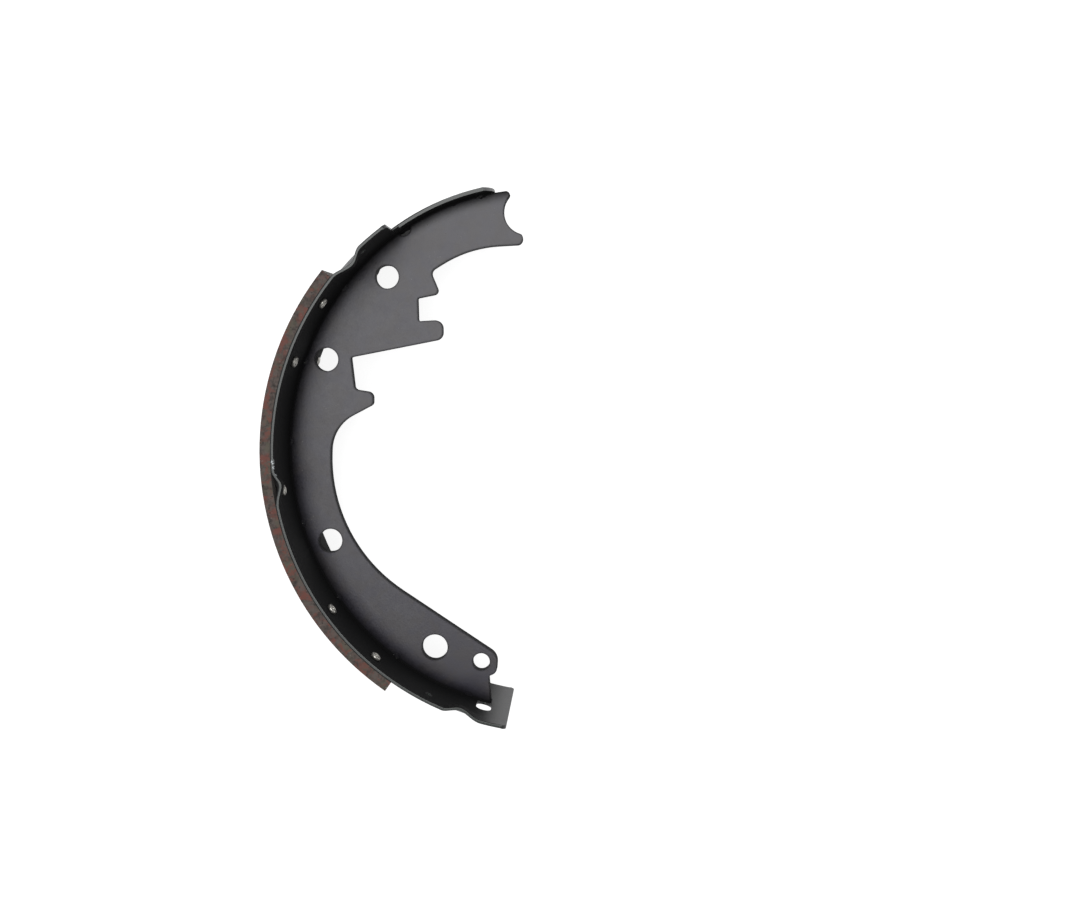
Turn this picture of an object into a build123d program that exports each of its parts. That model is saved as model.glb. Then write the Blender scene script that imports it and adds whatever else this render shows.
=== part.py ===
from build123d import *

import math
import os

# Lengths are in millimetres and angles in degrees.
# The origin is on the drum's axis, halfway across the shoe's width, and +Z runs along that axis.
# Angles go round the drum from the anchor pin, which lies on +Y, towards the lining's middle near -X.
# Depths go inwards from the table's inner surface.

# Shoe and lining
drum_radius = 139.7
shoe_width = 69.85
lining_thickness = 5.0
lining_middle = 91.8
lining_span = 93.6

# Sheets
table_thickness = 1.8
web_thickness = 4.5
web_gap = 0.5

# Table, whose wide part begins before the lining and ends past the web
table_lead = 15.3
table_past_web = 4.0
table_corner = 2.5
tongue_upper_side = 13.0
tongue_lower_side = 19.6
tongue_neck = 1.5
tongue_bend_offset = 15.9
tongue_tip = 6.6
tongue_tip_radius = 30.0
tongue_root_corner = 1.2
locating_hole = 6.6
locating_hole_past_tip = 21.3

# Slot through the table beside the web, on the side that faces up
slot_before_web_end = 1.6
slot_height = 1.6
slot_length = 15.4
slot_width = 7.6

# Nibs pressed into both side edges of the table, which slide on the brake's backing plate
nib_angles = (36.5, 86.8, 150.3)
nib_full_width = 9.2
nib_lip = 4.0
nib_rise_span = 3.2
nib_fall_span = 5.4
nib_depth = 2.9
nib_rivet_clearance = 0.4

# Rivets in two columns, with a spare pair of holes past each end of the lining
rivet_edge = 9.5
rivet_end_span = 5.7
rivet_rows = (-3, -2, 0, 2, 3)
spare_rows = (-4, 4)
rivet_shank = 3.6
rivet_hole_clearance = 0.3
rivet_head = 7.9
rivet_head_thickness = 1.0
rivet_head_clearance = 0.4
lining_under_head = 2.0
rivet_tail = 5.4
rivet_tail_edge = 0.6
rivet_tail_height = 1.9
rivet_bore = 2.3
rivet_bore_depth = 4.0

# Welds between web and table, evenly spaced, with a locating notch in the second place
weld_start = 9.8
weld_pitch = 18.1
weld_count = 9
notch_place = 1
weld_spread = 0.45
weld_radius = 2.2

# Anchor end of the web: the pin's seat below the tongue, and corners by their distance from the pin
# along -X and +Y, with corner radius
anchor_pin_depth = 11.6
anchor_seat_radius = 11.5
anchor_horn_radius = 1.7
anchor_end_corners = (
    (15.4, 14.3, 0.0),
    (4.0, 8.9, 0.0),
    (3.4, -16.1, 3.0),
)

# Round holes in the web: angle, depth, diameter
upper_spring_hole = (37.7, 13.2, 11.6)
lever_hole = (62.2, 10.5, 11.7)
hold_down_hole = (106.1, 11.1, 11.8)
cable_guide_hole = (142.8, 15.7, 12.9)
adjuster_spring_hole = (154.9, 18.9, 8.6)

# Corners of the web's inner outline: angle, depth, corner radius. Two corners leave at least the last
# share of the wall between them straight
upper_edge_corners = (
    (16.6, 23.6, 60.0),
    (28.4, 24.9, 3.0),
)
strut_notch_corners = (
    (29.9, 36.7, 2.4),
    (35.7, 31.4, 0.8),
    (40.3, 39.8, 1.0),
)
finger_corners = (
    (34.3, 47.8, 4.0),
    (38.9, 54.9, 4.0),
)
lever_step_corners = (
    (59.4, 21.3, 0.8),
    (67.1, 28.7, 2.2),
    (66.4, 38.0, 3.2),
    (70.0, 39.6, 2.4),
)
belly_corners = (
    (78.0, 20.8, 20.0),
    (106.3, 9.6, 80.0),
)
adjuster_end_corners = (
    (158.6, 24.5, 7.0),
    (159.4, 15.7, 3.8),
    (157.8, 13.0, 1.0),
)
web_end = 160.1
straight_wall_share = 0.02

# Sizes that follow from the ones above
half_width = shoe_width / 2
table_outer = drum_radius - lining_thickness
table_inner = table_outer - table_thickness
lining_start = lining_middle - lining_span / 2
lining_end = lining_middle + lining_span / 2
table_start = lining_start - table_lead
table_end = web_end + table_past_web
bend_start = table_start - tongue_neck
tongue_bend = table_inner - tongue_bend_offset
locating_hole_angle = tongue_tip + locating_hole_past_tip
tongue_width = tongue_upper_side + tongue_lower_side
tongue_middle = (tongue_upper_side - tongue_lower_side) / 2
nib_width_by_rivet = rivet_edge - rivet_tail / 2 - nib_rivet_clearance
nib_widths = (nib_full_width, nib_width_by_rivet, nib_full_width)
rivet_pitch = (lining_span / 2 - rivet_end_span) / max(rivet_rows)
rivet_height = half_width - rivet_edge
rivet_hole = rivet_shank + rivet_hole_clearance
counterbore = rivet_head + rivet_head_clearance
head_seat = table_outer + lining_under_head
tail_seat = math.sqrt(table_inner**2 - (rivet_tail / 2) ** 2)


def at(angle, radius):
    """Point in the web's middle plane, at an angle from the anchor pin and a radius from the drum's axis."""
    turn = math.radians(angle)
    return Vector(-radius * math.sin(turn), radius * math.cos(turn))


def below(angle, depth):
    """Point in the web's middle plane, at a depth inside the table's inner surface."""
    return at(angle, table_inner - depth)


def arc(radius, start, end):
    """Arc round the drum's axis."""
    return CenterArc((0, 0), radius, 90 + start, end - start)


def tongue_arc(offset, start):
    """Arc beside the tongue's inner surface, from an angle near its tip to where its tighter bend starts."""
    centre = at(bend_start, tongue_bend_offset)
    span = (bend_start - start) * table_inner / tongue_bend
    return CenterArc(centre, tongue_bend + offset, 90 + bend_start - span, span)


def anchor_pin():
    """Middle of the anchor pin, on +Y inside the tongue."""
    centre = at(bend_start, tongue_bend_offset)
    return Vector(0, centre.Y + math.sqrt(tongue_bend**2 - centre.X**2) - anchor_pin_depth)


def ring_face(inside, outside):
    """Flat face between two curves that run side by side."""
    return make_face([inside, outside, Line(inside @ 0, outside @ 0), Line(inside @ 1, outside @ 1)])


def band(inner, outer, start, end, bottom, top):
    """Curved strip between two radii, two angles and two heights."""
    face = ring_face(arc(inner, start, end), arc(outer, start, end))
    return extrude(Pos(0, 0, bottom) * face, top - bottom)


def along_radius(angle, height):
    """Place on the drum's axis whose own Z points outwards along the radius."""
    return Plane(origin=(0, 0, height), x_dir=(0, 0, 1), z_dir=at(angle, 1)).location


def radial_cylinder(angle, height, diameter, start, end):
    """Cylinder along a radius, from one distance off the drum's axis to another."""
    length = end - start
    return along_radius(angle, height) * Pos(0, 0, start + length / 2) * Cylinder(diameter / 2, length)


def inside_table(offset):
    """Face of everything inside a curve beside the table's inner surface, past both ends of the shoe."""
    upper = tongue_arc(offset, -bend_start)
    main = arc(table_inner + offset, bend_start, 180)
    return make_face([upper, main, Line(main @ 1, (0, 0)), Line((0, 0), upper @ 0)])


def tangent_length(points, place, radius):
    """Length that a rounded corner takes from each of its two walls."""
    back = points[place - 1] - points[place]
    ahead = points[(place + 1) % len(points)] - points[place]
    return radius / math.tan(math.radians(back.get_angle(ahead)) / 2)


def fitted_radii(points, radii):
    """Corner radii, smaller where two roundings would overlap on the wall between them."""
    fitted = list(radii)
    for place in range(len(points)):
        wall = (points[place] - points[place - 1]).length
        ends = (place - 1, place)
        taken = sum(tangent_length(points, end, radii[end]) for end in ends)
        free = (1 - straight_wall_share) * wall
        if taken > free:
            for end in ends:
                fitted[end] = min(fitted[end], radii[end] * free / taken)
    return fitted


def web_cutout():
    """Everything inside the drum that is not web, as one face that reaches past the table."""
    pin = anchor_pin()
    corners = (
        upper_edge_corners
        + strut_notch_corners
        + finger_corners
        + lever_step_corners
        + belly_corners
        + adjuster_end_corners
    )
    beyond = 2 * drum_radius
    points = [pin + Vector(-along, up) for along, up, radius in anchor_end_corners]
    points += [below(angle, depth) for angle, depth, radius in corners]
    points += [at(web_end, table_outer), Vector(beyond, -beyond), Vector(beyond, beyond)]
    radii = [radius for along, up, radius in anchor_end_corners]
    radii += [radius for angle, depth, radius in corners] + [0, 0, 0]
    return make_face(FilletPolyline(*points, radius=fitted_radii(points, radii), close=True))


def web_face():
    """Outline of the web with its anchor seat, its round holes and its locating notch."""
    pin = anchor_pin()
    face = inside_table(-web_gap) - web_cutout() - Pos(pin) * Circle(anchor_seat_radius)
    face = fillet(face.vertices().sort_by_distance(pin)[:2], anchor_horn_radius)
    holes = (upper_spring_hole, lever_hole, hold_down_hole, cable_guide_hole, adjuster_spring_hole)
    for angle, depth, diameter in holes:
        face -= Pos(below(angle, depth)) * Circle(diameter / 2)
    return face - Pos(at(locating_hole_angle, table_inner)) * Circle(locating_hole / 2)


def weld_nugget(angle):
    """Metal squeezed out between the web's edge and the table, ending on the table's inner surface."""
    height = web_thickness + 2 * weld_spread
    nugget = Pos(at(angle, table_inner)) * Cylinder(weld_radius, height)
    return nugget & extrude(inside_table(0), height, both=True)


def web():
    """Flat stamped plate, held clear of the table by its weld nuggets."""
    plate = extrude(Pos(0, 0, -web_thickness / 2) * web_face(), web_thickness)
    for place in range(weld_count):
        if place != notch_place:
            plate += weld_nugget(weld_start + weld_pitch * place)
    return plate


def tongue_strip(start):
    """Bent strip of the tongue's full width, from an angle near its tip to its neck."""
    face = ring_face(tongue_arc(0, start), tongue_arc(table_thickness, start))
    return extrude(Pos(0, 0, tongue_middle) * face, tongue_width / 2, both=True)


def tongue():
    """Narrow strip over the web's anchor end, bent tighter than the drum past its neck, with a rounded tip."""
    middle = tongue_tip + math.degrees(math.asin(tongue_tip_radius / table_outer))
    round_end = radial_cylinder(middle, tongue_middle, 2 * tongue_tip_radius, table_inner / 2, drum_radius)
    return (tongue_strip(tongue_tip) & round_end) + tongue_strip(middle)


def table_blank():
    """Rolled sheet with rounded corners and its tongue."""
    wide = band(table_inner, table_outer, table_start, table_end, -half_width, half_width)
    corners = wide.edges().filter_by(lambda edge: edge.length < 2 * table_thickness)
    neck_end = table_start + table_corner
    neck = band(table_inner, table_outer, bend_start, neck_end, -tongue_lower_side, tongue_upper_side)
    blank = fillet(corners, table_corner) + neck
    edges = blank.edges().filter_by(lambda edge: edge.length < 2 * table_thickness)
    roots = []
    for height in (-tongue_lower_side, tongue_upper_side):
        root = at(table_start, table_inner) + Vector(0, 0, height)
        roots += edges.sort_by_distance(root)[:1]
    return fillet(roots, tongue_root_corner) + tongue()


def nib_curve(start, radius):
    """Side edge of the sheet where it dips towards the drum's axis."""
    peak = start + nib_rise_span
    end = peak + nib_fall_span
    points = [at(start, radius), at(peak, radius - nib_depth), at(end, radius)]
    return Spline(*points, tangents=[at(start + 90, 1), at(end + 90, 1)])


def nib(start, width):
    """Strip along the upper side edge that slopes down to the pressed edge."""
    end = start + nib_rise_span + nib_fall_span
    root = half_width - width
    lip = half_width - nib_lip
    flat = ring_face(arc(table_inner, start, end), arc(table_outer, start, end))
    pressed = ring_face(nib_curve(start, table_inner), nib_curve(start, table_outer))
    slope = loft([Pos(0, 0, root) * flat, Pos(0, 0, lip) * pressed])
    return slope + extrude(Pos(0, 0, lip) * pressed, half_width - lip)


def nib_place(start, width):
    """The plain edge strip that a nib takes the place of."""
    end = start + nib_rise_span + nib_fall_span
    return band(table_inner - table_thickness, drum_radius, start, end, half_width - width, shoe_width)


def table_slot():
    """Round-ended slot beside the web's adjuster end."""
    place = along_radius(web_end - slot_before_web_end, slot_height + slot_length / 2)
    return place * Pos(0, 0, table_inner / 2) * extrude(SlotOverall(slot_length, slot_width), table_outer)


def table():
    """Rim with its nibs, its rivet holes, its locating hole and its slot."""
    rim = table_blank()
    for start, width in zip(nib_angles, nib_widths):
        place = nib_place(start, width)
        pressed = nib(start, width)
        rim = rim - place - mirror(place, Plane.XY)
        rim = rim + pressed + mirror(pressed, Plane.XY)
    low = table_inner / 2
    for row in rivet_rows + spare_rows:
        angle = lining_middle + rivet_pitch * row
        for height in (-rivet_height, rivet_height):
            rim -= radial_cylinder(angle, height, rivet_hole, low, drum_radius)
    rim -= radial_cylinder(locating_hole_angle, 0, locating_hole, low, drum_radius)
    return rim - table_slot()


def lining():
    """Curved friction block with a counterbored hole for each rivet."""
    block = band(table_outer, drum_radius, lining_start, lining_end, -half_width, half_width)
    for row in rivet_rows:
        angle = lining_middle + rivet_pitch * row
        for height in (-rivet_height, rivet_height):
            block -= radial_cylinder(angle, height, rivet_hole, table_inner, drum_radius)
            block -= radial_cylinder(angle, height, counterbore, head_seat, 2 * drum_radius)
    return block


def rivet():
    """Semi-tubular rivet about its own axis, Z, at its distance from the drum's axis."""
    head_top = head_seat + rivet_head_thickness
    shoulder = tail_seat - rivet_tail_edge
    tail_end = tail_seat - rivet_tail_height
    outline = [
        (0, 0, head_top),
        (rivet_head / 2, 0, head_top),
        (rivet_head / 2, 0, head_seat),
        (rivet_shank / 2, 0, head_seat),
        (rivet_shank / 2, 0, tail_seat),
        (rivet_tail / 2, 0, tail_seat),
        (rivet_tail / 2, 0, shoulder),
        (rivet_bore / 2, 0, tail_end),
        (rivet_bore / 2, 0, tail_end + rivet_bore_depth),
        (0, 0, tail_end + rivet_bore_depth),
    ]
    return revolve(make_face(Polyline(*outline, close=True)), Axis.Z)


def write(shape, node):
    """Save one piece under its node's name."""
    export_step(shape, f"parts/{node}.step")


os.makedirs("parts", exist_ok=True)
write(web(), "web")
write(table(), "table")
write(lining(), "lining")
one_rivet = rivet()
for number, row in enumerate(rivet_rows, start=1):
    angle = lining_middle + rivet_pitch * row
    write(along_radius(angle, rivet_height) * one_rivet, f"rivet_{number}_upper")
    write(along_radius(angle, -rivet_height) * one_rivet, f"rivet_{number}_lower")
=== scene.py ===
"""A drum brake shoe on its side, with its finishes, its rolled edges, its welds and its set rivets."""

import logging
import math
import random
from dataclasses import dataclass
from enum import Enum

import bmesh
import bpy
from mathutils import Matrix, Vector


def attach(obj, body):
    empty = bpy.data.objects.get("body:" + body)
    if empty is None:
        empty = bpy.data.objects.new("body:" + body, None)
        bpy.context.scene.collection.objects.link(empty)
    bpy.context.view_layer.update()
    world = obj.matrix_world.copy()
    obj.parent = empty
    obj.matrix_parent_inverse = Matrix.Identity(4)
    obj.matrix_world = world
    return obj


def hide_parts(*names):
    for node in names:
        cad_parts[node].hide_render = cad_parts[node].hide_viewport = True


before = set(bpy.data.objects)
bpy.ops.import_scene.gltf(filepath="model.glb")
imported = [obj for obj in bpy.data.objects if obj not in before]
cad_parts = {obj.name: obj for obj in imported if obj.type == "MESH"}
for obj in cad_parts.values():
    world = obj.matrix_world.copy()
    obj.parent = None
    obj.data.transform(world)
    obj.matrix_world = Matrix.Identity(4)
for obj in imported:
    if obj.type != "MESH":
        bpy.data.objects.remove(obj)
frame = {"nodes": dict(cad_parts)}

LOG = logging.getLogger("brake_shoe")
BODY = "root"
# The classes below give lengths in millimetres and angles in degrees, unless they say otherwise.
MM = 0.001
# Edges where the surface turns further than this are sharp.
SHARP_ANGLE = math.radians(50)
# How near a flat's height a point has to be to lie on it, in metres.
ON_LEVEL = 1e-5

Colour = tuple[float, float, float]


class Slot(Enum):
    """Material slots of the record, by name; no piece here takes its finish from them."""

    WEB = "web_paint"
    TABLE = "table_paint"
    FRICTION = "friction_block"
    RIVET = "rivet_metal"


class Side(Enum):
    """The two sides of the web, with the sign of their height."""

    UPPER = 1
    LOWER = -1


@dataclass(frozen=True)
class Drum:
    """The shoe's main sizes, and places round the drum's axis by the angle from the anchor pin."""

    table_inner: float = 132.9
    sheet: float = 1.8
    half_width: float = 34.925
    plate: float = 4.5
    plate_end: float = 160.1
    bend_start: float = 28.2
    tongue_bend: float = 117.0

    def at(self, angle: float, radius: float, height: float = 0.0) -> Vector:
        """A place in metres.

        Args:
            angle: Degrees from the anchor pin.
            radius: Millimetres from the drum's axis.
            height: Millimetres above the web's middle plane.

        Returns:
            The place.
        """
        turn = math.radians(angle)
        return Vector((-radius * math.sin(turn), radius * math.cos(turn), height)) * MM

    def bend_centre(self) -> Vector:
        """The place that the tongue curves round, in metres."""
        return self.at(self.bend_start, self.table_inner - self.tongue_bend)

    def depth(self, place: Vector) -> float:
        """How far a place lies inside the table's inner surface, in millimetres."""
        angle = math.degrees(math.atan2(-place.x, place.y))
        if angle > self.bend_start:
            return self.table_inner - math.hypot(place.x, place.y) / MM
        centre = self.bend_centre()
        return self.tongue_bend - math.hypot(place.x - centre.x, place.y - centre.y) / MM

    def surface(self, angle: float) -> float:
        """How far the rim's inner surface is from the drum's axis at an angle, in millimetres."""
        if angle >= self.bend_start:
            return self.table_inner
        offset = self.table_inner - self.tongue_bend
        turn = math.radians(self.bend_start - angle)
        return offset * math.cos(turn) + math.sqrt(self.tongue_bend**2 - (offset * math.sin(turn)) ** 2)


@dataclass(frozen=True)
class Clouds:
    """Cloudy variation over a surface.

    Args:
        grain: Size of the largest clouds, in millimetres.
        detail: How many finer layers are added.
        rough: How strong the finer layers are.
        warp: How far the clouds are twisted.
        span: Where patches begin and where they are full, if the clouds are cut into patches.
    """

    grain: float
    detail: float = 2.0
    rough: float = 0.5
    warp: float = 0.0
    span: tuple[float, float] | None = None


@dataclass(frozen=True)
class Grains:
    """Small round grains that come in patches.

    Args:
        spacing: Distance between grains, in millimetres.
        end: A grain's edge, as a share of the spacing.
        full: Where it is full, as a share of the spacing.
        patches: Where the grains come.
    """

    spacing: float
    end: float
    full: float
    patches: Clouds


class Signal:
    """A value in a material's nodes that takes part in sums as a number would."""

    def __init__(self, bench: "Bench", socket: bpy.types.NodeSocket) -> None:
        """Keep the bench that adds the nodes and the socket that carries the value."""
        self.bench = bench
        self.socket = socket

    def _math(self, operation: str, *values: "Signal | float", clamp: bool = False) -> "Signal":
        """Add one Math node.

        Args:
            operation: The node's operation.
            values: What its inputs take, in order.
            clamp: Whether the result stays between 0 and 1.

        Returns:
            The node's result.
        """
        settings = {"operation": operation, "use_clamp": clamp}
        return self.bench.add("ShaderNodeMath", settings, dict(enumerate(values)))

    def __add__(self, other: "Signal | float") -> "Signal":
        """Sum of two values."""
        return self._math("ADD", self, other)

    def __radd__(self, other: float) -> "Signal":
        """Sum with a number on the left."""
        return self._math("ADD", other, self)

    def __sub__(self, other: "Signal | float") -> "Signal":
        """Difference of two values."""
        return self._math("SUBTRACT", self, other)

    def __rsub__(self, other: float) -> "Signal":
        """A number less this value."""
        return self._math("SUBTRACT", other, self)

    def __mul__(self, other: "Signal | float") -> "Signal":
        """Product of two values."""
        return self._math("MULTIPLY", self, other)

    def __rmul__(self, other: float) -> "Signal":
        """Product with a number on the left."""
        return self._math("MULTIPLY", other, self)

    def __truediv__(self, other: "Signal | float") -> "Signal":
        """Quotient of two values."""
        return self._math("DIVIDE", self, other)

    def __pow__(self, other: float) -> "Signal":
        """This value raised to a power."""
        return self._math("POWER", self, other)

    def size(self) -> "Signal":
        """This value without its sign."""
        return self._math("ABSOLUTE", self)

    def root(self) -> "Signal":
        """Square root of this value."""
        return self._math("SQRT", self)

    def limit(self) -> "Signal":
        """This value held between 0 and 1."""
        return self._math("ADD", self, 0.0, clamp=True)

    def step(self, low: float, high: float) -> "Signal":
        """A soft step of this value.

        Args:
            low: Where the result is 0.
            high: Where the result is 1, which may be the smaller of the two.

        Returns:
            The stepped value.
        """
        settings = {"interpolation_type": "SMOOTHSTEP", "clamp": True}
        if low < high:
            return self.bench.add("ShaderNodeMapRange", settings, {0: self, 1: low, 2: high})
        return 1 - self.bench.add("ShaderNodeMapRange", settings, {0: self, 1: high, 2: low})


class Bench:
    """A material under construction, with the nodes that all finishes share."""

    # How far from an edge paint is rubbed off, and the span of nearness in which it goes.
    rubbed_reach = 0.5
    rubbed_span = (0.05, 0.25)
    bevel_samples = 6

    def __init__(self, name: str) -> None:
        """Start an empty material of that name, with its surface shader and its place on the piece."""
        self.material = bpy.data.materials.new(name)
        self.material.use_nodes = True
        self.nodes = self.material.node_tree.nodes
        self.links = self.material.node_tree.links
        self.nodes.clear()
        self.shader = self.node("ShaderNodeBsdfPrincipled", {}, {})
        self.output = self.node("ShaderNodeOutputMaterial", {}, {0: self.result(self.shader)})
        self.relief: Signal | None = None
        self.place = self.add("ShaderNodeTexCoord", {}, {}, "Object")
        self.x, self.y, _ = self.parts(self.place)
        nx, ny, self.nz = self.parts(self.add("ShaderNodeTexCoord", {}, {}, "Normal"))
        self.radius = (self.x * self.x + self.y * self.y).root()
        self.outward = (self.x * nx + self.y * ny) / self.radius

    def node(self, kind: str, settings: dict, inputs: dict) -> bpy.types.Node:
        """Add one node.

        Args:
            kind: The node's type.
            settings: The node's own settings, which are set first.
            inputs: A value or a signal for each socket, by its name or number.

        Returns:
            The node.
        """
        node = self.nodes.new(kind)
        for name, value in settings.items():
            setattr(node, name, value)
        for socket, value in inputs.items():
            self.feed(node, socket, value)
        return node

    def feed(self, node: bpy.types.Node, socket: str | int, value: Signal | float | tuple) -> None:
        """Give one socket of a node a value.

        Args:
            node: The node.
            socket: The socket's name or number.
            value: A signal for a value that changes over the surface, or a constant.
        """
        if isinstance(value, Signal):
            self.links.new(value.socket, node.inputs[socket])
        else:
            node.inputs[socket].default_value = value

    def result(self, node: bpy.types.Node, output: str | int = 0) -> Signal:
        """One output of a node, by its name or number."""
        return Signal(self, node.outputs[output])

    def add(self, kind: str, settings: dict, inputs: dict, output: str | int = 0) -> Signal:
        """Add one node and take one of its outputs.

        Args:
            kind: The node's type.
            settings: The node's own settings, which are set first.
            inputs: A value or a signal for each socket, by its name or number.
            output: The output wanted, by its name or number.

        Returns:
            That output.
        """
        return self.result(self.node(kind, settings, inputs), output)

    def parts(self, vector: Signal) -> tuple[Signal, Signal, Signal]:
        """The three parts of a vector."""
        node = self.node("ShaderNodeSeparateXYZ", {}, {0: vector})
        return tuple(self.result(node, part) for part in range(3))

    def depth(self, drum: Drum) -> Signal:
        """How far the surface lies inside the rim's inner surface.

        Args:
            drum: The places round the drum's axis.

        Returns:
            The depth in metres.
        """
        centre = drum.bend_centre()
        across, along = self.x - centre.x, self.y - centre.y
        main = drum.table_inner * MM - self.radius
        tongue = drum.tongue_bend * MM - (across * across + along * along).root()
        return tongue + (main - tongue) * self.past(drum.bend_start, 1.0)

    def past(self, angle: float, blur: float) -> Signal:
        """Which part of the shoe lies past an angle from the anchor pin.

        Args:
            angle: The angle, in degrees.
            blur: Width of the change, in millimetres.

        Returns:
            A value that is 1 past the angle and 0 before it.
        """
        turn = math.radians(angle)
        beyond = 0 - (self.x * math.cos(turn) + self.y * math.sin(turn))
        return beyond.step(-0.5 * blur * MM, 0.5 * blur * MM)

    def near(self, place: Vector, reach: float) -> Signal:
        """How near the surface is to a place.

        Args:
            place: The place, in metres.
            reach: Where the value has fallen to 0, in millimetres.

        Returns:
            A value that rises to 1 round the place.
        """
        settings = {"operation": "DISTANCE"}
        distance = self.add("ShaderNodeVectorMath", settings, {0: self.place, 1: place}, "Value")
        return distance.step(reach * MM, 0.5 * reach * MM)

    def noise(self, clouds: Clouds) -> Signal:
        """Cloudy variation over the surface.

        Args:
            clouds: Its sizes.

        Returns:
            A value round 0.5, or from 0 to 1 where the clouds are cut into patches.
        """
        inputs = {"Vector": self.place, "Scale": 1 / (clouds.grain * MM), "Detail": clouds.detail}
        inputs |= {"Roughness": clouds.rough, "Distortion": clouds.warp}
        value = self.add("ShaderNodeTexNoise", {}, inputs)
        return value.step(*clouds.span) if clouds.span else value

    def grains(self, grains: Grains) -> Signal:
        """Small round grains scattered over the surface.

        Args:
            grains: Their sizes.

        Returns:
            A value that is 1 on the grains.
        """
        inputs = {"Vector": self.place, "Scale": 1 / (grains.spacing * MM)}
        distance = self.add("ShaderNodeTexVoronoi", {}, inputs, "Distance")
        return distance.step(grains.end, grains.full) * self.noise(grains.patches)

    def mix(self, share: Signal | float, low: Signal | Colour, high: Signal | Colour) -> Signal:
        """Blend two colours.

        Args:
            share: How much of the second colour shows, from 0 to 1.
            low: The first colour.
            high: The second colour.

        Returns:
            The blended colour.
        """
        first = low if isinstance(low, Signal) else (*low, 1)
        second = high if isinstance(high, Signal) else (*high, 1)
        settings = {"data_type": "RGBA", "clamp_factor": True}
        return self.add("ShaderNodeMix", settings, {0: share, 6: first, 7: second}, 2)

    def edges(self, reach: float) -> Signal:
        """How near the surface is to an edge.

        Args:
            reach: How far from the edge the value still rises, in millimetres.

        Returns:
            A value that is 0 on open surface and rises towards edges.
        """
        rounded = self.add("ShaderNodeBevel", {"samples": self.bevel_samples}, {"Radius": reach * MM})
        flat = self.add("ShaderNodeNewGeometry", {}, {}, "Normal")
        settings = {"operation": "DOT_PRODUCT"}
        return 1 - self.add("ShaderNodeVectorMath", settings, {0: rounded, 1: flat}, "Value")

    def rubbed(self, patches: Clouds) -> Signal:
        """Where the paint is rubbed off along edges.

        Args:
            patches: Where along the edges it is rubbed off.

        Returns:
            A value that is 1 where the paint is gone.
        """
        return self.edges(self.rubbed_reach).step(*self.rubbed_span) * self.noise(patches)

    def bump(self, height: Signal, depth: float) -> None:
        """Raise the surface by a value.

        Args:
            height: The value, where 1 is the full depth.
            depth: How far the surface is raised, in millimetres.
        """
        inputs = {"Height": height, "Distance": depth * MM, "Strength": 1.0}
        self.relief = self.add("ShaderNodeBump", {}, inputs)
        self.set("Normal", self.relief)

    def set(self, socket: str, value: Signal | float | tuple) -> None:
        """Give the surface shader a value.

        Args:
            socket: The shader's socket.
            value: A signal for a value that changes over the surface, or a constant.
        """
        self.feed(self.shader, socket, value)

    def dull(self, share: Signal, colour: Colour, roughness: float, shine: float) -> None:
        """Let a dull second surface take over in places, after the relief is set.

        Args:
            share: How much of the dull surface shows, from 0 to 1.
            colour: Its colour.
            roughness: Its roughness.
            shine: Its specular level.
        """
        inputs = {"Base Color": (*colour, 1), "Roughness": roughness, "Specular IOR Level": shine}
        second = self.add("ShaderNodeBsdfPrincipled", {}, {**inputs, "Normal": self.relief})
        both = self.add("ShaderNodeMixShader", {}, {0: share, 1: self.result(self.shader), 2: second})
        self.feed(self.output, 0, both)


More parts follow.
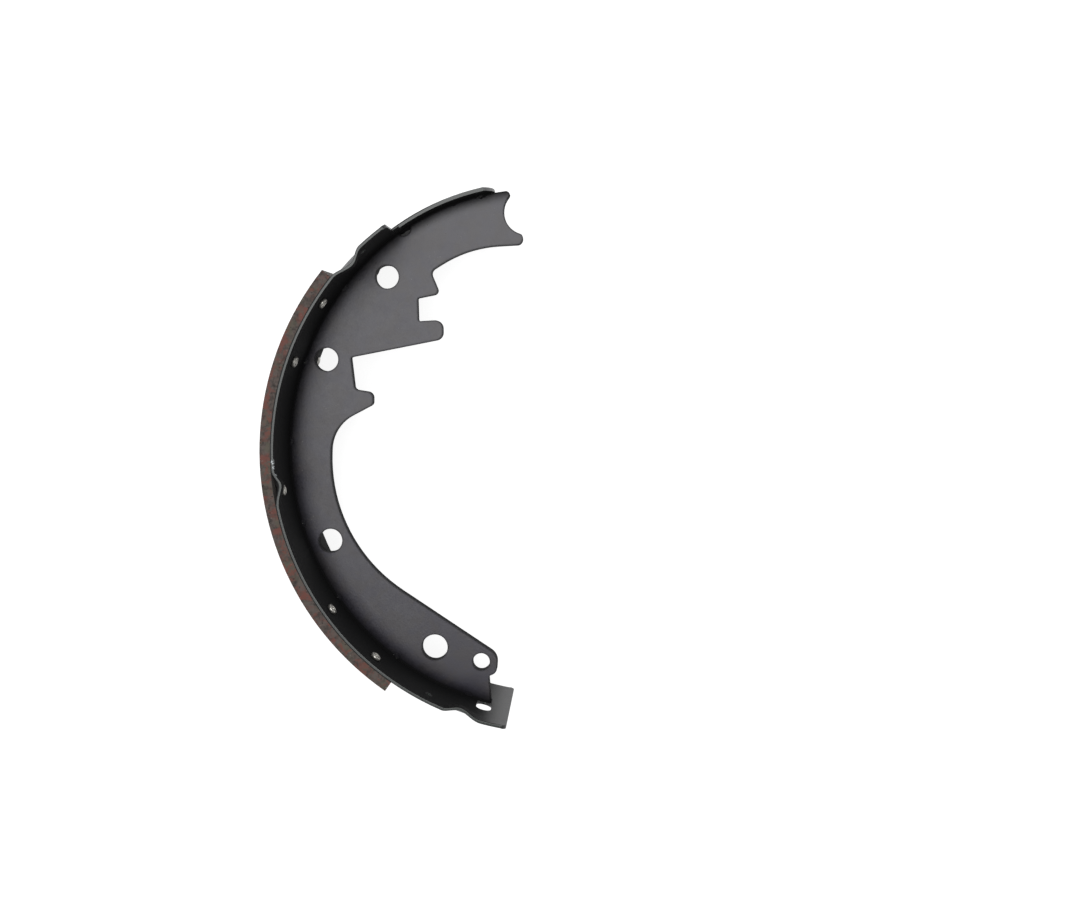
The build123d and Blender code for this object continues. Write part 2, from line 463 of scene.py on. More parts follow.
@dataclass(frozen=True)
class WebPaint:
    """Satin dark grey paint on the stamped plate, mottled, with painted shade in flat black on its cut walls,
    round its edges and in a ragged band along the joint with the rim.
    """

    drum: Drum
    light: Colour = (0.0205, 0.0180, 0.0330)
    warm: Colour = (0.0240, 0.0188, 0.0235)
    dark: Colour = (0.0100, 0.0085, 0.0134)
    bare: Colour = (0.30, 0.29, 0.27)
    # Flat black of the painted shade on cut walls, round edges and along the joint.
    shade_black: Colour = (0.004, 0.004, 0.0045)
    clouds: Clouds = Clouds(26, 4, 0.55)
    mottle: Clouds = Clouds(4.2, 3, 0.6)
    fine: Clouds = Clouds(0.9, 3, 0.6)
    stain: Clouds = Clouds(8.5, 3, 0.6, 0.5, (0.42, 0.60))
    specks: Grains = Grains(1.3, 0.16, 0.06, Clouds(7, span=(0.56, 0.70)))
    speck_share: float = 0.3
    worn: Clouds = Clouds(2.4, 3, span=(0.60, 0.74))
    worn_share: float = 0.35
    worn_metallic: float = 0.4
    roughness: float = 0.33
    shine: float = 0.48
    peel: Clouds = Clouds(0.35)
    relief: float = 0.05
    # Where the painted shade lies: on cut walls, in a band along the joint with the rim, and round every
    # edge.
    wall_span: tuple = (0.95, 0.60)
    joint_shade_span: tuple = (8.0, 0.2)
    joint_shade_ragged: float = 1.6
    joint_shade_fade: float = 1.5
    outline: float = 1.6
    outline_span: tuple = (0.004, 0.10)
    flat: float = 0.85
    flat_shine: float = 0.06

    def make(self) -> bpy.types.Material:
        """The finish as a material."""
        bench = Bench("web_satin_paint")
        clouds, mottle, fine = (bench.noise(kind) for kind in (self.clouds, self.mottle, self.fine))
        tone = (clouds * 0.5 + mottle * 0.4 + fine * 0.35 - 0.12).limit()
        colour = bench.mix(tone, self.dark, bench.mix(bench.noise(self.stain), self.light, self.warm))
        colour = bench.mix(bench.grains(self.specks) * self.speck_share, colour, self.bare)
        rubbed = bench.rubbed(self.worn)
        uneven = 0.16 * (fine - 0.5) + 0.10 * (clouds - 0.5) + 0.14 * (mottle - 0.5)
        bench.set("Base Color", bench.mix(rubbed * self.worn_share, colour, self.bare))
        bench.set("Roughness", self.roughness + uneven)
        bench.set("Metallic", rubbed * self.worn_metallic)
        bench.set("Specular IOR Level", self.shine)
        bench.bump(fine * 0.6 + bench.noise(self.peel) * 0.4, self.relief)
        # Painted shade: a flat black surface takes over on cut walls, along the joint and round edges.
        bench.dull(self.painted_shade_share(bench, mottle), self.shade_black, self.flat, self.flat_shine)
        return bench.material

    def painted_shade_share(self, bench: Bench, mottle: Signal) -> Signal:
        """Where painted shade makes the paint flat black: on cut walls, in a band along the joint with the
        rim and round every edge.

        Args:
            bench: The material.
            mottle: What makes the edge of the painted shade band along the joint ragged.

        Returns:
            A value that is 1 where the painted shade makes the paint flat.
        """
        # Painted shade on the cut walls, in a ragged band along the joint, and as a dark rim round every
        # edge.
        walls = bench.nz.size().step(*self.wall_span)
        depth = bench.depth(self.drum) + (mottle - 0.5) * (self.joint_shade_ragged * MM)
        start, full = self.joint_shade_span
        joint_shade = depth.step(start * MM, full * MM) ** self.joint_shade_fade
        outline = bench.edges(self.outline).step(*self.outline_span)
        return (walls * 0.95 + joint_shade * 0.85 + outline * 0.7).limit()


@dataclass(frozen=True)
class TablePaint:
    """Paint on the rolled sheet: satin grey, greenish on its edges, with painted shade in flat black inside
    the rim beside the plate and on its edge by the lining.
    """

    drum: Drum
    # Flat black of the painted shade inside the rim and on the edge by the lining.
    inside: Colour = (0.0038, 0.0038, 0.0042)
    outside: Colour = (0.045, 0.0445, 0.047)
    outside_shade: float = 0.75
    edge: Colour = (0.020, 0.026, 0.023)
    edge_shade: float = 0.7
    bare: Colour = (0.27, 0.29, 0.30)
    clouds: Clouds = Clouds(22, 4, 0.55)
    fine: Clouds = Clouds(0.9, 3, 0.6)
    worn: Clouds = Clouds(2.1, 3, span=(0.62, 0.74))
    worn_share: float = 0.5
    worn_metallic: float = 0.4
    chipping: Clouds = Clouds(0.8, span=(0.44, 0.52))
    chips: tuple = ((85.5, 133.4, 1.7), (86.6, 132.9, 1.1), (88.1, 132.0, 0.9))
    chip_height: float = 34.7
    satin: float = 0.40
    edge_roughness: float = 0.27
    uneven: float = 0.14
    shine: float = 0.5
    relief: float = 0.035
    level_span: tuple = (0.86, 0.99)
    # Where the painted shade lies: inside the rim, on the edge next to the lining, and less of it past the
    # plate's end.
    inner_span: tuple = (0.15, 0.50)
    lining_span: tuple = (0.62, 0.80)
    lining_share: float = 0.85
    past_plate_blur: float = 17.0
    past_plate_share: float = 0.68
    flat: float = 0.85
    flat_shine: float = 0.16

    def make(self) -> bpy.types.Material:
        """The finish as a material."""
        bench = Bench("table_paint")
        clouds, fine = bench.noise(self.clouds), bench.noise(self.fine)
        level = bench.nz.size().step(*self.level_span)
        chipped = bench.noise(self.chipping) * self.chip_places(bench)
        worn = (chipped + bench.rubbed(self.worn) * self.worn_share).limit()
        faces = bench.mix(clouds, tuple(self.outside_shade * part for part in self.outside), self.outside)
        edges = bench.mix(fine, tuple(self.edge_shade * part for part in self.edge), self.edge)
        satin = self.satin + (self.edge_roughness - self.satin) * level
        bench.set("Base Color", bench.mix(worn, bench.mix(level, faces, edges), self.bare))
        bench.set("Roughness", satin + self.uneven * (fine - 0.5))
        bench.set("Specular IOR Level", self.shine)
        bench.set("Metallic", worn * self.worn_metallic)
        bench.bump(fine * 0.6 + clouds * 0.4, self.relief)
        # Painted shade: a flat black surface takes over inside the rim beside the plate and on the edge by
        # the lining, except where chipped.
        bench.dull(self.shaded(bench, level) * (1 - chipped), self.inside, self.flat, self.flat_shine)
        return bench.material

    def shaded(self, bench: Bench, level: Signal) -> Signal:
        """Where painted shade makes the paint flat black: inside the rim beside the plate, easing off past
        the plate's end, and on its edge by the lining.

        Args:
            bench: The material.
            level: Where the sheet's side edges face up or down.

        Returns:
            A value that is 1 where the painted shade makes the paint flat.
        """
        inner = (0 - bench.outward).step(*self.inner_span)
        past_plate = bench.past(self.drum.plate_end, self.past_plate_blur)
        beside_plate = 1 - past_plate * self.past_plate_share
        into_sheet = bench.radius / MM - self.drum.table_inner
        by_lining = into_sheet.step(*(share * self.drum.sheet for share in self.lining_span))
        return inner * beside_plate * (1 - level) + level * by_lining * self.lining_share

    def chip_places(self, bench: Bench) -> Signal:
        """Where the paint is knocked off the edge at the middle nib."""
        total = 0.0
        for angle, radius, reach in self.chips:
            total = total + bench.near(self.drum.at(angle, radius, self.chip_height), reach)
        return total.limit()


@dataclass(frozen=True)
class FrictionMix:
    """Moulded friction block: taupe grey with grains and chips of metal, and patchy on its cut sides."""

    face_dark: Colour = (0.075, 0.069, 0.064)
    face_light: Colour = (0.150, 0.140, 0.130)
    side_dark: Colour = (0.020, 0.015, 0.013)
    side_grey: Colour = (0.084, 0.066, 0.058)
    side_red: Colour = (0.122, 0.040, 0.030)
    side_olive: Colour = (0.070, 0.066, 0.046)
    chip: Colour = (0.24, 0.22, 0.20)
    pit: Colour = (0.012, 0.011, 0.010)
    grain: Clouds = Clouds(1.1, 5, 0.7)
    clouds: Clouds = Clouds(16, 4, 0.6, 0.6)
    lumps: Clouds = Clouds(3.2, 3, 0.6, 0.5)
    red: Clouds = Clouds(5.2, 4, 0.7, 0.6, (0.46, 0.64))
    red_share: float = 0.9
    olive: Clouds = Clouds(7.5, 3, 0.6, 0.4, (0.50, 0.64))
    olive_share: float = 0.6
    chips: Grains = Grains(1.5, 0.22, 0.12, Clouds(3.1, span=(0.54, 0.64)))
    pits: Grains = Grains(2.3, 0.22, 0.12, Clouds(4.7, span=(0.48, 0.6)))
    pit_share: float = 0.8
    face_span: tuple = (0.3, 0.7)
    lump_span: tuple = (0.32, 0.62)
    side_span: tuple = (0.6, 0.9)
    roughness: float = 0.86
    relief: float = 0.16

    def make(self) -> bpy.types.Material:
        """The finish as a material."""
        bench = Bench("friction_mix")
        grain, clouds = bench.noise(self.grain), bench.noise(self.clouds)
        tone = grain.step(*self.face_span) * 0.6 + clouds * 0.4
        sides = bench.nz.size().step(*self.side_span)
        colour = bench.mix(sides, bench.mix(tone, self.face_dark, self.face_light), self.side(bench, grain))
        chips, pits = bench.grains(self.chips), bench.grains(self.pits)
        colour = bench.mix(chips * (0.6 - 0.35 * sides), colour, self.chip)
        bench.set("Base Color", bench.mix(pits * self.pit_share, colour, self.pit))
        bench.set("Roughness", self.roughness - 0.3 * chips + 0.1 * (grain - 0.5))
        bench.bump(grain * 0.7 + clouds * 0.3 - pits * 0.9 + chips * 0.15, self.relief)
        return bench.material

    def side(self, bench: Bench, grain: Signal) -> Signal:
        """The colour of the cut sides: grey lumps with olive and red-brown patches.

        Args:
            bench: The material.
            grain: The mix's finest grain.

        Returns:
            The colour.
        """
        lumps = (grain * 0.4 + bench.noise(self.lumps) * 0.6).step(*self.lump_span)
        colour = bench.mix(lumps, self.side_dark, self.side_grey)
        colour = bench.mix(bench.noise(self.olive) * self.olive_share, colour, self.side_olive)
        return bench.mix(bench.noise(self.red) * self.red_share, colour, self.side_red)


@dataclass(frozen=True)
class RivetMetal:
    """Plated rivet: dull brass yellow on the head, grey where the tail was rolled over."""

    head: Colour = (0.56, 0.47, 0.30)
    tail: Colour = (0.42, 0.41, 0.38)
    dirt: Colour = (0.06, 0.055, 0.045)
    dirt_share: float = 0.45
    change_span: tuple = (134.0, 136.0)
    fine: Clouds = Clouds(0.5, 4, 0.6)
    stain: Clouds = Clouds(1.8, 3, 0.6, span=(0.50, 0.72))
    roughness: float = 0.28
    metallic: float = 0.9
    relief: float = 0.03

    def make(self) -> bpy.types.Material:
        """The finish as a material."""
        bench = Bench("rivet_plating")
        far = bench.radius.step(*(radius * MM for radius in self.change_span))
        fine, stain = bench.noise(self.fine), bench.noise(self.stain)
        colour = bench.mix(far, self.tail, self.head)
        bench.set("Base Color", bench.mix(stain * self.dirt_share, colour, self.dirt))
        bench.set("Roughness", self.roughness + 0.3 * (fine - 0.4) + 0.2 * stain)
        bench.set("Metallic", self.metallic)
        bench.bump(fine, self.relief)
        return bench.material


@dataclass(frozen=True)
class SeamShade:
    """Rough black of the seam strips: painted shade for the shadowed gap in the joint."""

    black: Colour = (0.0025, 0.0025, 0.0028)
    dust: Colour = (0.007, 0.007, 0.007)
    dust_span: tuple = (0.5, 0.75)
    grain: Clouds = Clouds(0.8, 4, 0.65)
    roughness: float = 0.80
    uneven: float = 0.2
    shine: float = 0.1
    relief: float = 0.12

    def make(self) -> bpy.types.Material:
        """The finish as a material."""
        bench = Bench("seam_paint")
        grain = bench.noise(self.grain)
        bench.set("Base Color", bench.mix(grain.step(*self.dust_span), self.black, self.dust))
        bench.set("Roughness", self.roughness + self.uneven * (grain - 0.5))
        bench.set("Specular IOR Level", self.shine)
        bench.bump(grain, self.relief)
        return bench.material


@dataclass(frozen=True)
class WeldMetal:
    """Metal of the projection welds, dull under thin black paint."""

    bright: Colour = (0.13, 0.13, 0.12)
    burnt: Colour = (0.012, 0.012, 0.011)
    scale: Clouds = Clouds(1.4, 4, 0.6, span=(0.38, 0.52))
    scale_roughness: float = 0.3
    fine: Clouds = Clouds(0.45, 3)
    roughness: float = 0.45
    metallic: float = 0.6
    relief: float = 0.05

    def make(self) -> bpy.types.Material:
        """The finish as a material."""
        bench = Bench("weld_metal")
        scale = bench.noise(self.scale)
        bench.set("Base Color", bench.mix(scale, self.bright, self.burnt))
        bench.set("Roughness", self.roughness + self.scale_roughness * scale)
        bench.set("Metallic", self.metallic)
        bench.bump(bench.noise(self.fine), self.relief)
        return bench.material


@dataclass(frozen=True)
class PaleFloor:
    """Plain pale matt floor, lit a little from below as a light table is."""

    colour: Colour = (0.30, 0.30, 0.30)
    shade: Colour = (0.26, 0.26, 0.26)
    shade_share: float = 0.1
    clouds: Clouds = Clouds(60)
    roughness: float = 0.9
    light: Colour = (1.0, 1.0, 1.0)
    glow: float = 0.88

    def make(self) -> bpy.types.Material:
        """The finish as a material."""
        bench = Bench("pale_floor")
        shaded = bench.noise(self.clouds) * self.shade_share
        bench.set("Base Color", bench.mix(shaded, self.colour, self.shade))
        bench.set("Roughness", self.roughness)
        bench.set("Emission Color", (*self.light, 1))
        bench.set("Emission Strength", self.glow)
        return bench.material


def place_piece(
    name: str, mesh: bmesh.types.BMesh, material: bpy.types.Material
) -> bpy.types.Object:
    """Put a mesh into the scene as a smooth piece of the shoe.

    Args:
        name: The piece's name.
        mesh: Its mesh, in the shoe's own frame, which is used up.
        material: Its finish.

    Returns:
        The piece.
    """
    for face in mesh.faces:
        face.smooth = True
    data = bpy.data.meshes.new(name)
    mesh.to_mesh(data)
    mesh.free()
    data.materials.append(material)
    piece = bpy.data.objects.new(name, data)
    bpy.context.scene.collection.objects.link(piece)
    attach(piece, BODY)
    LOG.info("%s: %d faces", name, len(data.polygons))
    return piece


def join_rings(mesh: bmesh.types.BMesh, rings: list) -> None:
    """Join rings of points into one closed skin.

    Args:
        mesh: The mesh that holds the points.
        rings: The rings in order, each with as many points as the next.
    """
    for first, second in zip(rings, rings[1:]):
        for here in range(len(first)):
            after = (here + 1) % len(first)
            mesh.faces.new((first[here], second[here], second[after], first[after]))
    mesh.faces.new(rings[0])
    mesh.faces.new(reversed(rings[-1]))
    bmesh.ops.recalc_face_normals(mesh, faces=mesh.faces)


class Sheet:
    """A pressed or moulded piece that takes over a node's shape and rounds its edges."""

    # Points nearer to each other than this, in metres, are one point.
    same_point = 2e-6
    # Faces that turn less than this from their neighbours are one flat.
    flat_angle = math.radians(0.2)

    def __init__(self, node: bpy.types.Object) -> None:
        """Copy a node's mesh, with its points joined and its flats whole."""
        self.node = node
        self.mesh = bmesh.new()
        self.mesh.from_mesh(node.data)
        bmesh.ops.remove_doubles(self.mesh, verts=self.mesh.verts, dist=self.same_point)
        everything = {"verts": self.mesh.verts, "edges": self.mesh.edges}
        bmesh.ops.dissolve_limit(self.mesh, angle_limit=self.flat_angle, **everything)
        self.mesh.normal_update()

    def sharp_edges(self) -> list[bmesh.types.BMEdge]:
        """The edges where the surface turns sharply."""
        return [edge for edge in self.mesh.edges if edge.calc_face_angle(0) > SHARP_ANGLE]

    def round(self, edges: list, radius: float, segments: int = 3, clamp: bool = True) -> None:
        """Round some edges.

        Args:
            edges: The edges.
            radius: How far the rounding reaches, in millimetres.
            segments: How many strips make the rounding.
            clamp: Whether the rounding shrinks where it would cross another.
        """
        settings = {"offset_type": "OFFSET", "profile": 0.5, "affect": "EDGES", "clamp_overlap": clamp}
        bmesh.ops.bevel(self.mesh, geom=edges, offset=radius * MM, segments=segments, **settings)

    def finish(self, name: str, material: bpy.types.Material) -> None:
        """Make the piece, which stands for its node.

        Args:
            name: The piece's name.
            material: Its finish.
        """
        piece = place_piece(name, self.mesh, material)
        piece.data.set_sharp_from_angle(angle=SHARP_ANGLE)
        piece.modifiers.new("weighted", "WEIGHTED_NORMAL").keep_sharp = True
        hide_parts(self.node.name)


@dataclass
class Web:
    """Stamped plate and the metal squeezed out at its welds."""

    drum: Drum
    edge_radius: float = 0.7
    near_table: float = 1.2
    wall_slope: float = 0.2
    flat_slope: float = 0.9
    weld_start: float = 9.8
    weld_pitch: float = 18.1
    weld_places: tuple = (0, 2, 3, 4, 5, 6, 7, 8)
    beads: int = 7
    bead_sizes: tuple = (0.55, 1.0)
    bead_spread: float = 1.5
    bead_rise: float = 0.35
    bead_depths: tuple = (0.3, 1.3)
    bead_widths: tuple = (0.7, 1.2)
    bead_height: float = 0.6
    bead_lump: float = 0.18
    seed: int = 11

    def build(self, node: bpy.types.Object, paint: bpy.types.Material) -> None:
        """Make the plate with its sheared edges rolled over.

        Args:
            node: The plate's solid.
            paint: The plate's finish.
        """
        sheet = Sheet(node)
        sheet.round([edge for edge in sheet.mesh.edges if self.is_sheared(edge)], self.edge_radius)
        sheet.finish("web_plate", paint)

    def is_sheared(self, edge: bmesh.types.BMEdge) -> bool:
        """Whether an edge runs between a flat side and a cut wall, away from the table."""
        if len(edge.link_faces) != 2:
            return False
        wall, flat = sorted(abs(face.normal.z) for face in edge.link_faces)
        free = all(self.drum.depth(vertex.co) > self.near_table for vertex in edge.verts)
        top = self.drum.plate / 2 * MM
        level = all(abs(abs(vertex.co.z) - top) < ON_LEVEL for vertex in edge.verts)
        return free and level and wall < self.wall_slope and flat > self.flat_slope

    def build_welds(self, metal: bpy.types.Material) -> None:
        """Make the row of small beads along the joint with the table, on both sides of the plate.

        Args:
            metal: Their finish.
        """
        seeds = random.Random(self.seed)
        for number, place in enumerate(self.weld_places, start=1):
            mesh = bmesh.new()
            for side in Side:
                for _ in range(self.beads):
                    self.add_bead(mesh, self.weld_start + self.weld_pitch * place, side, seeds)
            place_piece(f"weld_{number}", mesh, metal)

    def add_bead(self, mesh: bmesh.types.BMesh, angle: float, side: Side, seeds: random.Random) -> None:
        """Add one bead of squeezed metal.

        Args:
            mesh: The mesh that takes the bead.
            angle: The weld's angle from the anchor pin.
            side: The side of the plate.
            seeds: Where the bead's size and place are drawn from.
        """
        size = seeds.uniform(*self.bead_sizes)
        along = seeds.uniform(-self.bead_spread, self.bead_spread)
        turn = angle + math.degrees(along / self.drum.table_inner)
        height = side.value * (self.drum.plate / 2 + seeds.uniform(0.0, self.bead_rise))
        centre = self.drum.at(turn, self.drum.surface(turn) - seeds.uniform(*self.bead_depths), height)
        width = size * seeds.uniform(*self.bead_widths)
        stretch = Matrix.Diagonal((size, width, size * self.bead_height, 1)) * MM
        spin = Matrix.Rotation(seeds.uniform(0, math.tau), 4, "Z")
        made = bmesh.ops.create_icosphere(mesh, subdivisions=2, radius=0.5, matrix=Matrix.Identity(4))
        for vertex in made["verts"]:
            lump = 1 + self.bead_lump * math.sin(9 * vertex.co.x + 7 * vertex.co.y + 5 * vertex.co.z)
            vertex.co = centre + (spin @ stretch @ (vertex.co * lump)).xyz


@dataclass
class Seam:
    """Black strips of painted shade in the shadowed joint between plate and rim, on both sides of the plate,
    with a ragged foot.
    """

    drum: Drum
    start: float = 7.4
    end: float = 159.9
    step: float = 0.2
    foot: tuple = (0.6, 1.05)
    rise: tuple = (0.35, 0.8)
    # Places where the strip of painted shade widens: angle, span and how much wider.
    ragged: tuple = ((9.8, 1.6, 1.5), (15.5, 1.2, 0.7), (27.9, 1.4, 0.5), (154.6, 1.0, 0.5))
    hollow: tuple = ((0.12, 0.55), (0.45, 0.22))
    foot_height: float = 0.07
    into_plate: tuple = (0.05, 0.6)
    into_rim: float = 0.25

    def build(self, paint: bpy.types.Material) -> None:
        """Make the two strips of painted shade.

        Args:
            paint: Their finish.
        """
        for side in Side:
            mesh = bmesh.new()
            join_rings(mesh, [self.ring(mesh, angle, side) for angle in self.angles()])
            place_piece(f"seam_{side.name.lower()}", mesh, paint)

    def angles(self) -> list[float]:
        """The angles of the strip's sections."""
        count = round((self.end - self.start) / self.step)
        return [self.start + (self.end - self.start) * place / count for place in range(count + 1)]

    def wave(self, angle: float, side: Side) -> float:
        """An uneven value between 0 and 1 along the joint."""
        turn = angle + 40 * side.value
        total = math.sin(1.7 * turn) + 0.7 * math.sin(4.3 * turn + 1) + 0.5 * math.sin(9.1 * turn + 2)
        return 0.5 + 0.5 * math.tanh(0.9 * total)

    def ring(self, mesh: bmesh.types.BMesh, angle: float, side: Side) -> list[bmesh.types.BMVert]:
        """One section of the strip.

        Args:
            mesh: The mesh that takes its points.
            angle: The section's angle from the anchor pin.
            side: The side of the plate.

        Returns:
            The section's points, round its outline.
        """
        share = self.wave(angle, side)
        foot = self.foot[0] + (self.foot[1] - self.foot[0]) * share
        rise = self.rise[0] + (self.rise[1] - self.rise[0]) * self.wave(angle + 3, side)
        for place, span, more in self.ragged:
            near = max(0.0, 1 - ((angle - place) / span) ** 2)
            foot += more * near * (0.6 + 0.4 * share)
        top = self.drum.plate / 2
        section = [(-self.into_rim, top + rise)]
        section += [(along * foot, top + up * rise) for along, up in self.hollow]
        section += [(0.85 * foot, top + self.foot_height), (foot, top - self.into_plate[0])]
        section += [(-self.into_rim, top - self.into_plate[1])]
        surface = self.drum.surface(angle)
        return [mesh.verts.new(self.drum.at(angle, surface - off, side.value * up)) for off, up in section]


@dataclass
class Table:
    """Rolled sheet rim with its nibs, its tongue and its holes."""

    drum: Drum
    side_radius: float = 0.5
    edge_radius: float = 0.3

    def build(self, node: bpy.types.Object, paint: bpy.types.Material) -> None:
        """Make the rim with its side edges rolled over and its other cut edges broken.

        Args:
            node: The rim's solid.
            paint: The rim's finish.
        """
        sheet = Sheet(node)
        sides = [edge for edge in sheet.sharp_edges() if self.is_side(edge)]
        sheet.round(sides, self.side_radius, clamp=False)
        sheet.round(sheet.sharp_edges(), self.edge_radius)
        sheet.finish("table_rim", paint)

    def is_side(self, edge: bmesh.types.BMEdge) -> bool:
        """Whether an edge lies along one of the rim's two side edges."""
        half_width = self.drum.half_width * MM
        return all(abs(abs(vertex.co.z) - half_width) < ON_LEVEL for vertex in edge.verts)


@dataclass
class Lining:
    """Friction block with its worn edges."""

    edge_radius: float = 0.3
    segments: int = 2

    def build(self, node: bpy.types.Object, mix: bpy.types.Material) -> None:
        """Make the block with its edges rubbed off.

        Args:
            node: The block's solid.
            mix: The block's finish.
        """
        sheet = Sheet(node)
        sheet.round(sheet.sharp_edges(), self.edge_radius, self.segments)
        sheet.finish("lining_block", mix)


@dataclass
class Rivet:
    """Semi-tubular rivet, with its head in the lining and its tail rolled over inside the table."""

    drum: Drum
    lining_under_head: float = 2.0
    head_thickness: float = 1.0
    head: float = 7.9
    head_corner: float = 0.25
    head_dish: float = 0.12
    dish_places: tuple = ((0.35, 1.0), (0.6, 0.3))
    shank: float = 3.6
    tail: float = 5.4
    tail_gap: float = 0.03
    tail_height: float = 1.9
    tail_lip: float = 0.3
    bore: float = 2.3
    bore_depth: float = 3.6
    corner_steps: int = 4
    roll_steps: int = 14
    roll_angles: tuple = (70, -180)
    sides: int = 48
    flare: float = 0.05
    lobes: int = 7

    def __post_init__(self) -> None:
        """Work out where the head and the tail seat, from the drum's axis."""
        self.head_seat = self.drum.table_inner + self.drum.sheet + self.lining_under_head
        self.head_top = self.head_seat + self.head_thickness
        self.tail_seat = self.drum.table_inner - self.tail_gap
        self.tail_end = self.tail_seat - self.tail_height

    def outline(self) -> list[tuple[float, float]]:
        """Half of the rivet's section, as distances from its own axis and from the drum's axis."""
        head, shank = self.head / 2, self.shank / 2
        points = [(head * share, self.head_top - self.head_dish * low) for share, low in self.dish_places]
        for step in range(self.corner_steps + 1):
            turn = math.radians(90 - 90 * step / self.corner_steps)
            along, up = self.head_corner * math.cos(turn), self.head_corner * math.sin(turn)
            points.append((head - self.head_corner + along, self.head_top - self.head_corner + up))
        points += [(head, self.head_seat), (shank, self.head_seat), (shank, self.tail_seat)]
        middle, width = (self.tail + self.bore) / 4, (self.tail - self.bore) / 4
        centre, height = (self.tail_seat + self.tail_end) / 2, self.tail_height / 2
        first, last = self.roll_angles
        for step in range(self.roll_steps + 1):
            turn = math.radians(first + (last - first) * step / self.roll_steps)
            points.append((middle + width * math.cos(turn), centre + height * math.sin(turn)))
        points.append((self.bore / 2, self.tail_end + self.bore_depth))
        return points

    def build(
        self, name: str, node: bpy.types.Object, angle: float, height: float, metal: bpy.types.Material
    ) -> None:
        """Make one rivet.

        Args:
            name: The piece's name.
            node: The rivet's solid.
            angle: Its angle from the anchor pin.
            height: Its height above the web's middle plane, in millimetres.
            metal: Its finish.
        """
        mesh = bmesh.new()
        join_rings(mesh, [self.ring(mesh, angle, height, *point) for point in self.outline()])
        piece = place_piece(name, mesh, metal)
        piece.data.set_sharp_from_angle(angle=SHARP_ANGLE)
        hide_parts(node.name)

    def ring(
        self, mesh: bmesh.types.BMesh, angle: float, height: float, distance: float, radius: float
    ) -> list[bmesh.types.BMVert]:
        """One ring of points round the rivet's own axis.

        Args:
            mesh: The mesh that takes the points.
            angle: The rivet's angle from the anchor pin.
            height: Its height above the web's middle plane, in millimetres.
            distance: The ring's distance from the rivet's axis, in millimetres.
            radius: Its distance from the drum's axis, in millimetres.

        Returns:
            The points.
        """
        outward, upward = self.drum.at(angle, 1).normalized(), Vector((0, 0, 1))
        across = upward.cross(outward)
        rolled = distance > self.tail / 2 - self.tail_lip and radius < self.tail_seat
        points = []
        for side in range(self.sides):
            turn = math.tau * side / self.sides
            reach = distance + (self.flare * math.cos(self.lobes * turn + angle) if rolled else 0)
            off = across * math.cos(turn) + upward * math.sin(turn)
            points.append(mesh.verts.new((outward * radius + off * reach + upward * height) * MM))
        return points


@dataclass
class RivetSet:
    """The ten rivets in two columns."""

    rivet: Rivet
    rows: tuple = (-3, -2, 0, 2, 3)
    middle: float = 91.8
    pitch: float = 13.7
    from_edge: float = 9.5

    def build(self, nodes: dict, metal: bpy.types.Material) -> None:
        """Make every rivet.

        Args:
            nodes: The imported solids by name.
            metal: The rivets' finish.
        """
        height = self.rivet.drum.half_width - self.from_edge
        for number, row in enumerate(self.rows, start=1):
            for side in Side:
                place = f"rivet_{number}_{side.name.lower()}"
                angle = self.middle + self.pitch * row
                self.rivet.build(f"set_{place}", nodes[place], angle, side.value * height, metal)


@dataclass(frozen=True)
class Lamp:
    """One soft lamp: where it stands and how large it is, in metres, and how strong, in watts."""

    name: str
    place: tuple
    size: float
    power: float


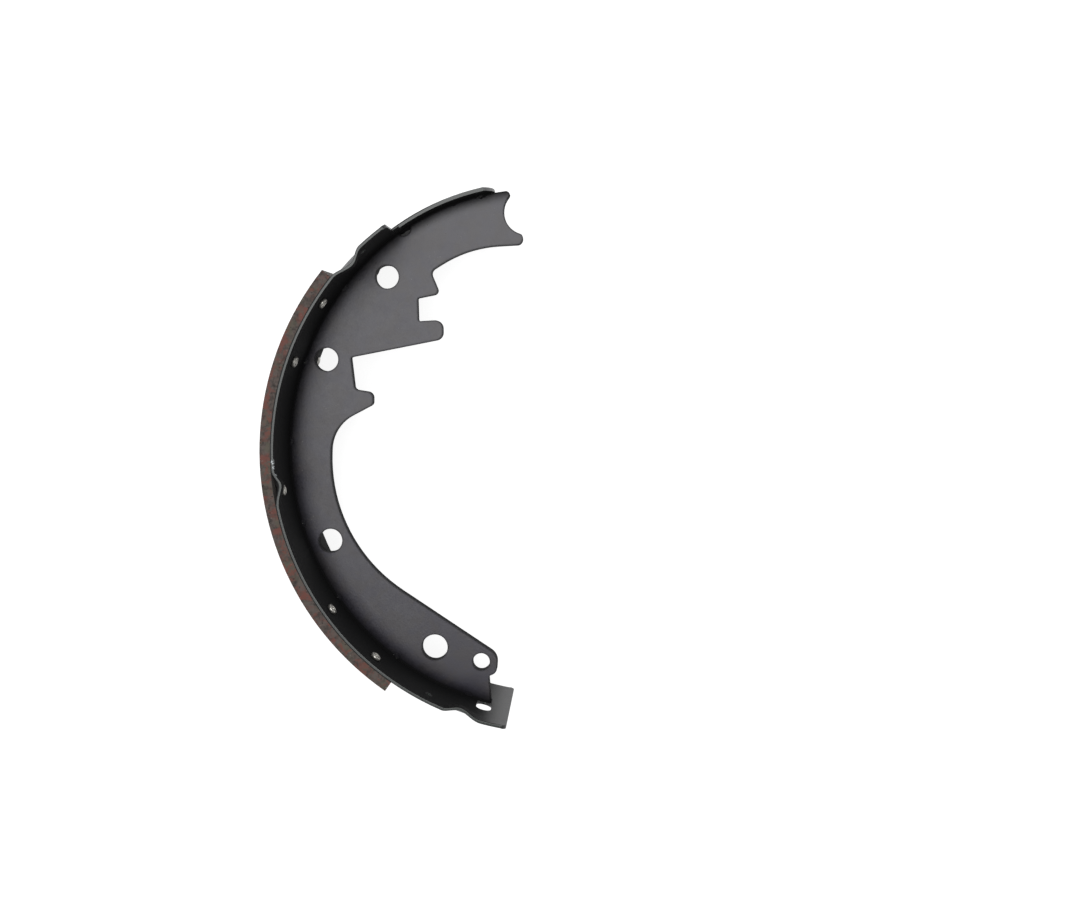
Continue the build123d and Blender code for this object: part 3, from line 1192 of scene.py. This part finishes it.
@dataclass
class Studio:
    """Pale floor, soft lamps and the camera, with the floor's size and the camera's range in metres."""

    drum: Drum
    floor_size: float = 4.0
    floor_squares: int = 8
    camera_place: tuple = (19.28, 41.78, 626.08)
    camera_aim: tuple = (8.22, 21.98, 0.0)
    camera_roll: float = 6.40
    camera_shift: tuple = (-0.0231, -0.0435)
    camera_range: tuple = (0.01, 20)
    lens: float = 41.50
    sensor: float = 36
    world: Colour = (1.0, 1.0, 1.0)
    world_strength: float = 0.3
    lamps: tuple = (
        Lamp("lamp_over", (-0.1, 0.22, 1.2), 1.1, 14.0),
        Lamp("lamp_top", (-0.02, 0.62, 0.7), 0.3, 1.0),
    )

    def build(self) -> None:
        """Make the floor, the lamps, the surroundings and the camera."""
        self.build_floor()
        for lamp in self.lamps:
            self.build_lamp(lamp)
        self.build_surroundings()
        self.build_camera()

    def build_floor(self) -> None:
        """Make the floor under the shoe."""
        mesh = bmesh.new()
        squares = {"x_segments": self.floor_squares, "y_segments": self.floor_squares}
        bmesh.ops.create_grid(mesh, size=self.floor_size / 2, **squares)
        data = bpy.data.meshes.new("floor")
        mesh.to_mesh(data)
        mesh.free()
        data.materials.append(PaleFloor().make())
        floor = bpy.data.objects.new("floor", data)
        floor.location.z = -self.drum.half_width * MM
        bpy.context.scene.collection.objects.link(floor)

    def build_lamp(self, lamp: Lamp) -> None:
        """Make one soft lamp, which faces the drum's axis."""
        data = bpy.data.lights.new(lamp.name, "AREA")
        data.size, data.energy = lamp.size, lamp.power
        item = bpy.data.objects.new(lamp.name, data)
        item.location = lamp.place
        item.rotation_euler = (-Vector(lamp.place)).to_track_quat("-Z", "Y").to_euler()
        bpy.context.scene.collection.objects.link(item)

    def build_surroundings(self) -> None:
        """Make the even light round the shoe."""
        world = bpy.data.worlds.new("surroundings")
        world.use_nodes = True
        backdrop = world.node_tree.nodes["Background"]
        backdrop.inputs[0].default_value = (*self.world, 1)
        backdrop.inputs[1].default_value = self.world_strength
        bpy.context.scene.world = world

    def build_camera(self) -> None:
        """Make the camera, which looks almost straight down."""
        data = bpy.data.cameras.new("camera")
        data.lens, data.sensor_width = self.lens, self.sensor
        data.shift_x, data.shift_y = self.camera_shift
        data.clip_start, data.clip_end = self.camera_range
        place, aim = Vector(self.camera_place) * MM, Vector(self.camera_aim) * MM
        ahead = (aim - place).normalized()
        roll = math.radians(self.camera_roll)
        right = ahead.cross(Vector((math.sin(roll), math.cos(roll), 0))).normalized()
        turn = Matrix((right, right.cross(ahead), -ahead)).transposed().to_4x4()
        camera = bpy.data.objects.new("camera", data)
        camera.matrix_world = Matrix.Translation(place) @ turn
        bpy.context.scene.collection.objects.link(camera)
        bpy.context.scene.camera = camera
        bpy.context.scene.view_settings.view_transform = "Standard"


def main() -> None:
    """Build the studio and dress the shoe."""
    logging.basicConfig(level=logging.INFO, format="%(name)s: %(message)s")
    nodes = frame["nodes"]
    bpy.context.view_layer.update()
    drum = Drum()
    Studio(drum).build()
    web = Web(drum)
    web.build(nodes["web"], WebPaint(drum).make())
    web.build_welds(WeldMetal().make())
    Seam(drum).build(SeamShade().make())
    Table(drum).build(nodes["table"], TablePaint(drum).make())
    Lining().build(nodes["lining"], FrictionMix().make())
    RivetSet(Rivet(drum)).build(nodes, RivetMetal().make())
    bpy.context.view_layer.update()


if __name__ == "__main__":
    main()
